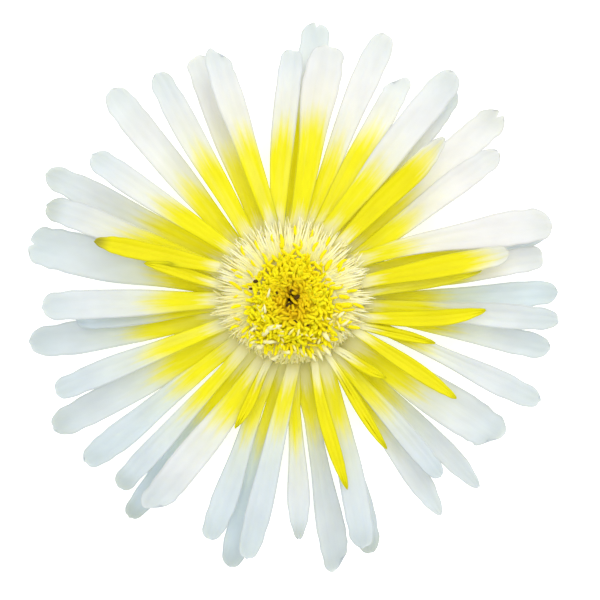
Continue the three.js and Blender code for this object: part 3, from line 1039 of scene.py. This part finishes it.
        # Painted shade: towards the tip the white cools and dulls, more on petals that are already shaded
        tip_shade_share = min(0.5 + 2 * petal.shade, 1) * smooth(0.72, 0.98, length).ravel()
        draft.add(
            points,
            faces,
            axis_mm=np.hypot(points[:, 0], points[:, 1]),
            across=side.ravel(),
            vein_mm=(side * 0.5 * petal.width).ravel(),
            along_mm=(length * petal.reach).ravel(),
            fade_mm=petal.fade,
            # The yellow gives way to the pale foot a little further out on the lower side, as painted shade
            foot_mm=7.9 + 0.2 * lower_side(petal.foot),
            shade=petal.shade + (0.5 - 0.45 * petal.shade) * tip_shade_share,
            bruise=(0.1 + petal.bruise) * tip_share,
            petal=place + 20 * self.row,
        )

    def build(self) -> None:
        """Builds the row."""
        draft = Draft()
        for place, petal in enumerate(self.petals):
            self.blade(petal, place, draft)
        settle(draft.build(self.name, [self.tissue]), self.slot, self.node)


# The middle of the flower


@dataclass
class Stamens:
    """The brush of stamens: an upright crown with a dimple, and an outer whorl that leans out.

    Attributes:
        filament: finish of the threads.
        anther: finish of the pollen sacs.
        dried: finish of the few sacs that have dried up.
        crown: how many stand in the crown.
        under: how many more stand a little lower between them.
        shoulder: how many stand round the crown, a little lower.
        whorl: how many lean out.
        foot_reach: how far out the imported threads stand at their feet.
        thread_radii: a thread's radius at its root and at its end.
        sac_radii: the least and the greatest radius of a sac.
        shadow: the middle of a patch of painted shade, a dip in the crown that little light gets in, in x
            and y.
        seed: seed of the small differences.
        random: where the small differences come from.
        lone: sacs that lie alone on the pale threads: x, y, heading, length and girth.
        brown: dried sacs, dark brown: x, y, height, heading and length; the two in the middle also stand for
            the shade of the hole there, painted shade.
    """

    filament: StrandTissue
    anther: StrandTissue
    dried: StrandTissue
    crown: int = 400
    under: int = 150
    shoulder: int = 70
    whorl: int = 54
    foot_reach: float = 4.4
    thread_radii: tuple[float, float] = (0.13, 0.085)
    sac_radii: tuple[float, float] = (0.14, 0.18)
    shadow: tuple[float, float] = (0.3, -1.7)
    seed: int = 7
    random: np.random.Generator = field(init=False)
    lone: Sequence[tuple[float, float, float, float, float]] = (
        (-0.9, 5.3, 92, 1.6, 1.5),
        (0.3, 6.4, 97, 1.2, 0.9),
        (-3.3, 5.0, 115, 1.2, 0.9),
        (-4.7, 4.5, 110, 1.2, 0.9),
        (-3.9, 2.4, 130, 1.0, 0.9),
        (-2.5, 3.9, 118, 1.1, 1.0),
        (2.1, 4.9, 62, 1.2, 0.9),
        (2.9, 4.2, 56, 1.2, 0.9),
        (3.4, 5.4, 64, 1.1, 0.8),
        (3.4, 3.2, 58, 1.3, 1.3),
        (4.6, 3.4, 42, 1.4, 1.0),
        (0.9, 5.0, 80, 1.2, 1.0),
        (-1.9, 5.6, 105, 1.1, 0.8),
        (1.9, 6.1, 74, 1.0, 0.7),
        (5.1, -0.6, 4, 1.4, 1.6),
        (4.9, 0.2, -8, 1.2, 1.3),
        (4.2, 1.0, 8, 1.2, 1.2),
    )
    brown: Sequence[tuple[float, float, float, float, float]] = (
        (0.5, 0.2, 13.35, 35, 0.6),
        (-0.3, -0.5, 13.35, 30, 0.65),
        (-0.05, 0.75, 13.5, 0, 0.35),
        (-1.45, 0.55, 13.75, 120, 0.3),
        (0.35, -2.1, 13.8, -30, 0.45),
        (1.5, -2.4, 13.8, 10, 0.3),
        (-3.4, 1.65, 13.1, 10, 0.45),
        (-3.85, 0.95, 12.6, 0, 0.35),
    )

    def packed(self, draft: Draft) -> None:
        """Adds the closely packed threads below the crown, as one ring with a rough golden top.

        Args:
            draft: the mesh in the making.
        """
        profile = [(0.23, 8.5), (0.88, 8.5), (0.95, 10.6), (0.95, 11.8), (0.92, 12.3), (0.84, 12.7)]
        profile += [(0.72, 13.1), (0.55, 13.35), (0.4, 13.3), (0.27, 13.1), (0.17, 12.8), (0.1, 12.3)]
        profile += [(0.1, 10.6)]
        share, z = np.array(profile)[:, :1], np.array(profile)[:, 1:]
        around = 120
        rough = np.random.default_rng(self.seed + 1).uniform(-0.13, 0.13, (len(profile), around, 2))
        rough *= (z > 10)[..., None]
        reach = np.where(z > 9, brim(directions(around)), self.foot_reach)
        points = turned(share * reach + rough[..., 0], z + rough[..., 1])
        # Painted shade: the colour deepens downwards and towards the axis
        height = smooth(9.5, 12.3, points[:, 2])
        middle = smooth(0.8, 3.2, np.hypot(points[:, 0], points[:, 1]))
        faces = ring_faces(len(profile), around)
        draft.add(points, faces, 1, along=0.2 + 0.8 * height, vary=0.1 + 0.8 * middle)

    def sac(
        self,
        draft: Draft,
        centre: Array,
        heading: Array,
        size: float,
        glow: float,
        finish: int = 1,
        girth: float = 1.0,
    ) -> None:
        """Adds an anther: a short two-lobed sac, a little curved.

        Args:
            draft: the mesh in the making.
            centre: its middle.
            heading: the way that it lies.
            size: its length.
            glow: how clear its yellow is, from 0 to 1, which also carries painted shade.
            finish: 1 for a fresh sac, 2 for a dried one.
            girth: how thick it is, as a share of the usual.
        """
        random = self.random
        heading = unit(heading)
        curve = unit(np.cross(heading, random.normal(size=3))) * size * random.uniform(0.02, 0.2)
        t = np.linspace(-1, 1, 7)[:, None]
        path = centre + heading * t * size / 2 - curve * t * t
        swell = np.array([0.35, 0.82, 1.0, 0.96, 1.0, 0.8, 0.3])
        radii = girth * random.uniform(*self.sac_radii) * swell
        points, faces = tube(path, radii, 8, lobes=0.16, turn=random.uniform(0, 180))
        draft.add(points, faces, finish, along=1.0, vary=glow)

    def thread(self, draft: Draft, path: Array) -> None:
        """Adds a filament.

        Args:
            draft: the mesh in the making.
            path: its course.
        """
        draft.strand(path, np.linspace(*self.thread_radii, len(path)), 5, self.random.uniform(0.6, 1))

    def upright(self, draft: Draft, share: float, direction: float, drop: float) -> None:
        """Adds one stamen of the crown.

        Args:
            draft: the mesh in the making.
            share: how far out it stands, from 0 to 1.
            direction: the direction in which it stands.
            drop: how far it stays below the top of the crown.
        """
        random = self.random
        out = 0.45 + (brim(direction) - 0.55) * share + random.uniform(-0.12, 0.12)
        end = polar(out, direction, crown_height(out, direction) - drop - random.uniform(0, 0.35))
        root = polar(1.2 + 2.5 * share, direction, BOSS_HEIGHT)
        bend = polar(1.3 + 2.6 * share, direction, 11.4) + random.normal(size=3) * [0.15, 0.15, 0]
        self.thread(draft, bend_path(root, bend, end, 6))
        rise = random.uniform(0, 55)
        heading = slanting(direction + random.normal() * 80, rise)
        # Painted shade: the yellow is less clear near the axis, in the lower layer and round the dip
        shaded = math.exp(-(math.dist(end[:2], self.shadow) ** 2) / 0.5)
        glow = random.uniform(0.75, 1) * (0.25 + 0.75 * smooth(0.3, 3.0, out)) * (1 - 0.2 * min(drop, 1))
        glow = glow * (1 - 0.6 * shaded)
        self.sac(draft, end + heading * 0.15, heading, random.uniform(0.75, 1.15), glow)

    def beside(self, draft: Draft, k: int) -> None:
        """Adds one stamen round the crown, where the brush slopes down.

        Args:
            draft: the mesh in the making.
            k: its place round the flower.
        """
        random = self.random
        direction = 360 * (k + random.uniform(-0.4, 0.4)) / self.shoulder
        out = brim(direction) + random.uniform(-0.1, 0.7)
        end = polar(out, direction, crown_height(out, direction) - random.uniform(0, 0.4))
        root = polar(3.8, direction, BOSS_HEIGHT)
        bend = polar(4.1, direction, 11.6)
        self.thread(draft, bend_path(root, bend, end, 6))
        rise = random.uniform(-10, 40)
        heading = slanting(direction + random.normal() * 50, rise)
        self.sac(draft, end + heading * 0.2, heading, random.uniform(0.9, 1.35), random.uniform(0.75, 1))

    def leaning(self, draft: Draft, k: int) -> None:
        """Adds one stamen of the outer whorl.

        Args:
            draft: the mesh in the making.
            k: its place round the flower.
        """
        random = self.random
        direction = 360 * (k + random.uniform(-0.4, 0.4)) / self.whorl
        lower = lower_side(direction)
        out = brim(direction) + random.uniform(0.7 - 0.7 * lower, 2.4 - 2 * lower)
        height = random.uniform(11.3, 11.9) + 0.4 * lower
        end = polar(out, direction + random.uniform(-7, 7), height)
        root = polar(3.9, direction, BOSS_HEIGHT)
        bend = polar(4.3, direction, 12.0 + 0.4 * lower)
        self.thread(draft, bend_path(root, bend, end, 7))
        swing = direction + random.normal() * (18 + 30 * lower)
        heading = slanting(swing, random.uniform(-12, 25))
        size = random.uniform(1.0, 1.6) * (1 - 0.3 * lower)
        self.sac(draft, end + heading * 0.35, heading, size, random.uniform(0.75, 1))

    def lying(self, draft: Draft, place: Array, heading: float, size: float, girth: float) -> None:
        """Adds one stamen that lies alone on the pale threads.

        Args:
            draft: the mesh in the making.
            place: where the middle of its sac lies, in x and y.
            heading: the direction that the sac points in.
            size: the length of the sac.
            girth: how thick the sac is, as a share of the usual.
        """
        out, direction = bearing(place)
        # On the pale threads, which slope down outwards
        middle = np.array([*place, 14.6 - 0.53 * out])
        lie = polar(1, heading, -0.2)
        root = polar(3.9, direction, BOSS_HEIGHT)
        bend = polar(4.2, direction, 12.4)
        self.thread(draft, bend_path(root, bend, middle - lie * size * 0.4, 7))
        self.sac(draft, middle, lie, size, 0.85, girth=girth)

    def build(self) -> None:
        """Builds the brush."""
        self.random = np.random.default_rng(self.seed)
        draft = Draft()
        self.packed(draft)
        for count, drop in ((self.crown, 0.0), (self.under, 0.75)):
            for k in range(count):
                direction = k * GOLDEN_ANGLE + 31 * drop + self.random.uniform(-6, 6)
                self.upright(draft, math.sqrt((k + 0.5) / count), direction, drop)
        for k in range(self.shoulder):
            self.beside(draft, k)
        for k in range(self.whorl):
            if not 40 < 360 * k / self.whorl < 140:
                self.leaning(draft, k)
        for x, y, heading, size, girth in self.lone:
            self.lying(draft, np.array([x, y]), heading, size, girth)
        # A dim sac across the hole in the middle, its yellow darkened as painted shade
        self.sac(draft, np.array([0.15, -0.15, 13.1]), polar(1, -50, 0.1), 1.1, 0.3)
        # Dried sacs; the two in the middle stand for the hole's shade, painted shade
        for x, y, z, heading, size in self.brown:
            self.sac(draft, np.array([x, y, z]), polar(1, heading), size, 0.5, 2)
        piece = draft.build("stamen_brush", [self.filament, self.anther, self.dried])
        settle(piece, "stamen", "stamens")


@dataclass
class Staminodes:
    """The pale pointed threads round the stamens, on the wall that they grow from.

    Attributes:
        tissue: their finish.
        upper: how many stand round the stamens.
        outer: how many stand outside those, lower down.
        curled: how many small ones curl in over the lower side of the stamens.
        flutes: how many flutes go round the wall.
        upper_radii: the least and the greatest radius of the upper threads.
        outer_radii: the same of the outer ones.
        curled_radii: the same of the small curled ones.
        seed: seed of the small differences.
        curls: the larger curled ones: x, y, heading, length and radius.
    """

    tissue: StrandTissue
    upper: int = 520
    outer: int = 250
    curled: int = 30
    flutes: int = 72
    upper_radii: tuple[float, float] = (0.1, 0.15)
    outer_radii: tuple[float, float] = (0.13, 0.18)
    curled_radii: tuple[float, float] = (0.09, 0.13)
    seed: int = 12
    curls: Sequence[tuple[float, float, float, float, float]] = (
        (-1.7, -2.7, 4, 1.4, 0.21),
        (-2.3, -3.1, 30, 0.9, 0.22),
        (-2.2, -4.1, -6, 1.3, 0.18),
        (-3.0, -4.6, 20, 0.9, 0.22),
        (-3.7, -4.2, 28, 1.1, 0.12),
        (-3.6, -2.9, 38, 1.4, 0.12),
        (-0.4, -5.1, -8, 1.0, 0.2),
        (-1.6, -5.7, 40, 1.2, 0.17),
        (1.0, -5.1, -50, 0.9, 0.17),
        (1.9, -5.5, -62, 0.9, 0.13),
        (3.1, -3.5, -60, 1.1, 0.22),
        (3.2, -4.9, -55, 1.2, 0.19),
        (2.6, -5.4, -70, 0.9, 0.13),
        (4.6, -1.6, 35, 0.9, 0.16),
        (5.1, -2.4, 40, 1.0, 0.13),
        (-2.1, 0.4, 70, 1.0, 0.11),
        (-2.4, -1.0, 95, 0.9, 0.11),
    )

    def collar(self, draft: Draft) -> None:
        """Adds the flaring ring that petals and threads grow from, fluted as their feet are fused.

        Args:
            draft: the mesh in the making.
        """
        profile = [(4.3, RIM_HEIGHT), (5.4, RIM_HEIGHT), (5.65, 6.8), (5.7, 7.8), (5.8, 8.8), (6.0, 9.6)]
        profile += [(6.25, 10.1), (6.5, 10.4), (6.1, 10.8), (5.4, 11.35), (4.7, 11.8), (4.1, 12.1)]
        profile += [(3.0, 12.2), (3.0, 10.5)]
        radius, z = np.array(profile)[:, :1], np.array(profile)[:, 1:]
        around = 6 * self.flutes
        ripple = np.cos(math.pi * np.arange(around) / 3)
        fluted = ripple * 0.08 * (radius > 4.5) * (z > RIM_HEIGHT)
        ends = ripple * 0.2 * (radius > 6.2)
        shorter = 1 - 0.09 * lower_side(directions(around)) * smooth(8.5, 10, z)
        points = turned(radius * shorter + fluted + ends, z + fluted)
        # Painted shade: the collar's colour deepens downwards, where little light gets in
        light = smooth(5.0, 10.9, points[:, 2])
        draft.add(points, ring_faces(len(profile), around), along=light, vary=0.4)

    def thread(self, draft: Draft, path: Array, radius: float, vary: float, blunt: float = 0.0) -> None:
        """Adds one thread.

        Args:
            draft: the mesh in the making.
            path: its course, in nine points.
            radius: its radius at the thickest.
            vary: how pale it is, from 0 to 1.
            blunt: 0 for a pointed end, 1 for a rounded one.
        """
        pointed = np.array([0.9, 1, 1, 0.98, 0.95, 0.88, 0.74, 0.5, 0.14])
        rounded = np.array([0.9, 1, 1, 1, 1, 1, 1, 0.86, 0.35])
        draft.strand(path, radius * (pointed + blunt * (rounded - pointed)), 6, vary)

    def curl(
        self, draft: Draft, place: Array, heading: float, size: float, radius: float, vary: float
    ) -> None:
        """Adds a thread that comes up through the stamens and curls over their ends.

        Args:
            draft: the mesh in the making.
            place: where the middle of its free part lies, in x and y.
            heading: the direction that its free part points in.
            size: the length of its free part.
            radius: its radius.
            vary: how pale it is, from 0 to 1.
        """
        out, direction = bearing(place)
        middle = np.array([*place, crown_height(out, direction) + 0.22])
        lie = polar(1, heading)
        bend = middle - lie * size * 0.9 + [0, 0, 0.55]
        end = middle + lie * size * 0.55 + polar(0.15, heading + 90, -0.05)
        root = polar(min(out + 0.3, 4.6), direction, 10.5)
        self.thread(draft, bend_path(root, bend, end, 9), radius, vary, 1.0)

    def build(self) -> None:
        """Builds the threads: an upper whorl, one outside it, and curled ones over the lower side."""
        random = np.random.default_rng(self.seed)
        draft = Draft()
        self.collar(draft)
        for k in range(self.upper):
            direction = 360 * (k + random.uniform(-0.5, 0.5)) / self.upper
            lower = lower_side(direction)
            root = polar(min(4.1, brim(direction)), direction, 12.05)
            bend = polar(5.2, direction, 11.85 + random.uniform(-0.1, 0.15))
            out = random.uniform(5.9 - 0.4 * lower, 7.9 - 1.9 * lower)
            height = random.uniform(10.5, 10.9) - 0.4 * max(out - 6.7, 0) + lower * random.uniform(-0.1, 0.5)
            end = polar(out, direction + random.normal() * (2.5 + 5 * lower), height)
            path = bend_path(root, bend, end, 9)
            # Painted shade: threads on the lower side are deeper in colour
            vary = random.uniform(0.5, 1) - 0.3 * lower
            self.thread(draft, path, random.uniform(*self.upper_radii), vary)
        for k in range(self.outer):
            direction = 360 * (k + random.uniform(-0.5, 0.5)) / self.outer
            lower = lower_side(direction)
            root = polar(5.55 - 0.3 * lower, direction, random.uniform(7.4, 9.8))
            bend = root + polar(random.uniform(0.5, 0.7), direction, random.uniform(0.4, 0.7))
            height = bend[2] + random.uniform(-0.2, 0.4)
            out = random.uniform(6.6 - 0.8 * lower, 8.0 - 1.7 * lower)
            end = polar(out, direction + random.normal() * 4, height)
            path = bend_path(root, bend, end, 9)
            # Painted shade: threads on the lower side are deeper in colour
            vary = random.uniform(0.45, 0.9) - 0.3 * lower
            self.thread(draft, path, random.uniform(*self.outer_radii), vary)
        for _ in range(self.curled):
            direction = random.uniform(188, 345)
            place = polar(random.uniform(2.8, brim(direction) + 0.9), direction)[:2]
            size = random.uniform(0.5, 0.9)
            heading = random.uniform(-90, 90)
            self.curl(draft, place, heading, size, random.uniform(*self.curled_radii), 0.3)
        for x, y, heading, size, radius in self.curls:
            self.curl(draft, np.array([x, y]), heading, size, 1.15 * radius, 0.65)
        settle(draft.build("staminode_ring", [self.tissue]), "staminode", "staminodes")


@dataclass
class Pistil:
    """The dark nectary cone and its five stigmas, deep in the middle of the stamens.

    Attributes:
        tissue: its finish.
        stigmas: how many stigmas.
        stigma_radius: a stigma's radius at its root.
        seed: seed of the small differences.
    """

    tissue: StrandTissue
    stigmas: int = 5
    stigma_radius: float = 0.2
    seed: int = 3

    def build(self) -> None:
        """Builds the pistil."""
        random = np.random.default_rng(self.seed)
        draft = Draft()
        cone = polar(0, 0, np.array([BOSS_HEIGHT, 8.9, 9.4, 9.8, 10.05, 10.1]))
        points, faces = tube(cone, np.array([1.0, 0.98, 0.9, 0.8, 0.6, 0.2]), 20, lobes=0.05)
        draft.add(points, faces, along=0.1, vary=1.0)
        radii = self.stigma_radius * np.array([1, 1, 0.95, 0.9, 0.8, 0.65, 0.45, 0.15])
        for k in range(self.stigmas):
            direction = 20 + 360 / self.stigmas * k + random.uniform(-8, 8)
            root, bend, end = (polar(r, direction, z) for r, z in ((0.35, 9.7), (0.3, 11.2), (0.85, 11.8)))
            draft.strand(bend_path(root, bend, end, len(radii)), radii, 7, 1.0, 0.1)
        settle(draft.build("nectary_and_stigmas", [self.tissue]), "pistil", "pistil")


# Under the petals


@dataclass
class Calyx:
    """The fleshy receptacle with its five sepals, fused into one skin, and the torn scar under it.

    Attributes:
        skin: finish of the green flesh.
        scar: finish of the torn stalk.
        sepals: direction, reach and width at the base of each sepal.
        sepal_root: how far from the axis the sepals start, inside the receptacle.
        voxel: how fine the fused skin is.
        seed: seed of the scar's small differences.
    """

    skin: FleshySkin
    scar: CutStalk
    sepals: Sequence[tuple[float, float, float]] = (
        (13, 12.6, 4.6),
        (87, 11.2, 4.2),
        (163, 12.2, 4.6),
        (233, 10.8, 4.2),
        (310.5, 11.4, 4.0),
    )
    sepal_root: float = 3.2
    voxel: float = 0.2
    seed: int = 21

    def under_sepal(self, degrees: float) -> float:
        """Gives how well a direction lies under a sepal, from 1 under its middle to 0 beside it."""
        gaps = [abs((degrees - direction + 180) % 360 - 180) for direction, _, _ in self.sepals]
        return math.cos(math.radians(min(*gaps, 36.0) * 2.5))

    def receptacle(self, draft: Draft) -> None:
        """Adds the top-shaped body, with five soft ribs that run down from the sepals.

        Args:
            draft: the mesh in the making.
        """
        profile = [(2.25, 0.3), (2.42, 0.42), (2.6, 0.75), (3.25, 1.5), (4.05, 2.4), (4.75, 3.4), (5.3, 4.4)]
        profile += [(5.62, 5.2), (RIM_RADIUS, 5.75), (5.6, RIM_HEIGHT), (4.25, RIM_HEIGHT), (4.2, 8.3)]
        profile += [(3.9, BOSS_HEIGHT)]
        radius, z = np.array(profile)[:, :1], np.array(profile)[:, 1:]
        around = 96
        ribs = np.array([self.under_sepal(direction) for direction in directions(around)])
        swell = 0.3 * np.sin(math.pi * np.minimum(z / RIM_HEIGHT, 1))
        points = turned(radius + swell * (ribs - 0.5), z)
        draft.add(points, flipped(closed_faces(len(profile), around)))

    def sepal(self, draft: Draft, direction: float, reach: float, width: float) -> None:
        """Adds a sepal: a thick tongue, flat above and keeled below, with a blunt tip.

        Args:
            draft: the mesh in the making.
            direction: the way that it points.
            reach: distance from the axis to its tip.
            width: its width at the base.
        """
        t = np.array([0, 0.15, 0.3, 0.45, 0.6, 0.73, 0.86, 0.94, 0.985, 1.0])
        half = 0.5 * width * np.array([0.9, 0.97, 1.0, 0.92, 0.78, 0.62, 0.43, 0.29, 0.17, 0.06])
        depth = np.array([3.4, 3.05, 2.7, 2.3, 1.9, 1.55, 1.2, 0.9, 0.6, 0.2])
        heading, aside = polar(1, direction), polar(1, direction + 90)
        up = np.array([0, 0, 1.0])
        around = 24
        angles = np.linspace(0, 2 * math.pi, around, endpoint=False)
        level = np.sign(np.cos(angles)) * np.abs(np.cos(angles)) ** 0.8
        rise = np.where(np.sin(angles) > 0, np.abs(np.sin(angles)) ** 0.7, -(np.abs(np.sin(angles)) ** 1.3))
        rings = []
        for share, wide, deep in zip(t, half, depth):
            top = 5.65 - 0.9 * share**2 - 0.15 * (1 - share)
            out = self.sepal_root + (reach - self.sepal_root) * share
            centre = heading * out + up * (top - deep / 2)
            rings.append(centre + np.outer(-level * wide, aside) + np.outer(rise * deep / 2, up))
        draft.add(np.concatenate(rings), closed_faces(len(t), around))

    def fused(self, rough: bpy.types.Object) -> bpy.types.Object:
        """Grows the overlapping forms into one soft skin.

        Args:
            rough: the overlapping forms.

        Returns:
            The piece. The rough forms are gone.
        """
        remesh = rough.modifiers.new("fuse", "REMESH")
        remesh.mode = "VOXEL"
        remesh.voxel_size = self.voxel * MM
        ease = rough.modifiers.new("ease", "SMOOTH")
        ease.factor = 0.5
        ease.iterations = 9
        graph = bpy.context.evaluated_depsgraph_get()
        mesh = bpy.data.meshes.new_from_object(rough.evaluated_get(graph))
        mesh.name = "calyx_flesh"
        bpy.data.objects.remove(rough)
        for vertex in mesh.vertices:
            place = vertex.co / MM
            lump = noise.noise(place * 0.55) * 0.16 + noise.noise(place * 1.7) * 0.05
            vertex.co += vertex.normal * lump * MM * smooth(0.0, 1.0, place.z)
        mesh.polygons.foreach_set("use_smooth", [True] * len(mesh.polygons))
        piece = bpy.data.objects.new("calyx_flesh", mesh)
        bpy.context.scene.collection.objects.link(piece)
        return piece

    def stalk_end(self) -> bpy.types.Object:
        """Builds the torn end of the stalk that the flower lies on.

        Returns:
            The piece.
        """
        around = 64
        profile = [(0.35, 0.12), (0.75, 0.1), (1.15, 0.07), (1.5, 0.05), (1.8, 0.03), (2.05, 0.02)]
        profile += [(2.25, 0.04), (2.3, 0.14), (2.2, 0.35), (1.4, 0.4)]
        radius, z = np.array(profile)[:, :1], np.array(profile)[:, 1:]
        rough = np.random.default_rng(self.seed).uniform(0, 0.09, (len(profile), around)) * (z < 0.13)
        ragged = 1 + 0.02 * np.sin(5 * np.radians(directions(around)) + 1)
        draft = Draft()
        draft.add(turned(radius * ragged, z + rough), flipped(closed_faces(len(profile), around)))
        return draft.build("stalk_scar", [self.scar])

    def build(self) -> None:
        """Builds the skin and the scar."""
        draft = Draft()
        self.receptacle(draft)
        for direction, reach, width in self.sepals:
            self.sepal(draft, direction, reach, width)
        settle(self.fused(draft.build("calyx_rough", [self.skin])), "calyx", "calyx")
        settle(self.stalk_end(), "calyx", "calyx")


@dataclass
class Studio:
    """The floor, the soft lights and the camera straight above the flower.

    Attributes:
        floor: finish of the floor.
        span: side of the floor.
        lens: the camera's focal length.
        view_width: width of the view, level with the petals.
        petal_level: how high the petals lie.
        middle: place of the picture's middle, in x and y.
    """

    floor: LightTable
    span: float = 3000.0
    lens: float = 200.0
    view_width: float = 57.14
    petal_level: float = 8.0
    middle: tuple[float, float] = (0.76, -0.095)

    def table(self) -> None:
        """Builds the floor, just under the scar."""
        half = self.span / 2
        corners = np.array([[-half, -half], [half, -half], [half, half], [-half, half]])
        draft = Draft()
        draft.add(np.column_stack([corners, np.full(4, -0.02)]), [(0, 1, 2, 3)])
        draft.build("light_table", [self.floor])

    def light(
        self, name: str, place: tuple[float, float, float], size: float, watts: float, tint: str
    ) -> None:
        """Adds a square soft light that looks at the flower.

        Args:
            name: its name.
            place: where it hangs.
            size: its side.
            watts: its power.
            tint: its colour.
        """
        lamp = bpy.data.lights.new(name, "AREA")
        lamp.size = size * MM
        lamp.energy = watts
        lamp.color = linear(tint)[:3]
        holder = bpy.data.objects.new(name, lamp)
        holder.location = Vector(place) * MM
        aim = Vector((0, 0, 8 * MM)) - holder.location
        holder.rotation_euler = aim.to_track_quat("-Z", "Y").to_euler()
        bpy.context.scene.collection.objects.link(holder)

    def camera(self) -> None:
        """Hangs the camera over the flower, with the top of the picture towards +Y."""
        sensor = 36.0
        data = bpy.data.cameras.new("camera")
        data.lens = self.lens
        data.sensor_width = sensor
        holder = bpy.data.objects.new("camera", data)
        away = self.view_width * self.lens / sensor
        holder.location = Vector((*self.middle, self.petal_level + away)) * MM
        bpy.context.scene.collection.objects.link(holder)
        bpy.context.scene.camera = holder

    def build(self) -> None:
        """Builds the studio."""
        self.camera()
        self.table()
        self.light("key", (150, 300, 370), 360, 1.0, "#fffdf8")
        self.light("fill", (-260, -200, 300), 320, 0.24, "#f2f6ff")
        self.light("front", (0, 20, 430), 240, 0.5, "#fffffb")
        world = bpy.data.worlds.new("studio_air")
        world.use_nodes = True
        air = world.node_tree.nodes["Background"]
        air.inputs["Color"].default_value = linear("#fbfcff")
        air.inputs["Strength"].default_value = 0.6
        bpy.context.scene.world = world
        bpy.context.scene.view_settings.view_transform = "Standard"
        LOG.info("studio: floor, three lights, camera")


def main() -> None:
    """Builds the studio and the flower, from the calyx up."""
    logging.basicConfig(level=logging.INFO, format="%(relativeCreated)d ms %(message)s")
    # The floor: matt and almost shadowless
    Studio(LightTable("sanded_white_acrylic")).build()
    # The calyx: fresh green that glistens; the stalk's end: fibrous and dull
    Calyx(FleshySkin("papillose_green_skin"), CutStalk("torn_stalk")).build()
    # Petals: satin, half clear, white with painted shade that cools it where they lie behind others and
    # towards the tips
    satin = PetalTissue("satin_petal_tissue")
    # The yellow ones: a clear, even yellow, brown where a tip has dried
    clear = PetalTissue("clear_yellow_petal_tissue", dark_tip="#7d7a2c", yellow="#e8df02", pale_streaks=1.0)
    rows = (
        ("outer", "white_petal", OUTER_PETALS, satin, 0.3),
        ("middle", "white_petal", MIDDLE_PETALS, satin, 0.2),
        ("inner", "white_petal", INNER_PETALS, satin, 0.1),
        ("yellow", "yellow_petal", YELLOW_PETALS, clear, 0.0),
    )
    for row, (name, slot, petals, tissue, longer) in enumerate(rows):
        PetalRow(f"{name}_petals", f"petals_{name}_row", slot, row, petals, tissue, longer).build()
    # Cream threads: pale and silky, a little yellower at their roots, partly their own colour and partly
    # painted shade
    cream = StrandTissue("cream_filament", "#f3e774", "#fefae0", relief=0.1, roughness=0.55, reach=0.06)
    Staminodes(cream).build()
    # Yellow threads: smooth and slightly glossy, seen between the sacs
    thread = StrandTissue("yellow_filament", "#d8b820", "#f8f0a0", relief=0.2, roughness=0.5)
    # Pollen sacs: matt, full yellow, as rough as their grains of pollen
    pollen = StrandTissue(
        "pollen_dusted_anther", "#dfb400", "#faee0a", relief=0.5, roughness=0.75, glow_depth=0.7
    )
    # Sacs that have shed their pollen: dark brown specks, and in the middle painted shade of the hole
    dried = StrandTissue("dried_anther", "#2c2002", "#66490c", relief=0.8, roughness=0.8, glow_depth=0.1)
    Stamens(thread, pollen, dried).build()
    # The nectary: wet and dark olive, darkened further as painted shade so the middle looks deep
    olive = StrandTissue("olive_nectary", "#4a3c12", "#a8923a", relief=0.4, roughness=0.35, grain=0.08)
    Pistil(olive).build()


if __name__ == "__main__":
    main()
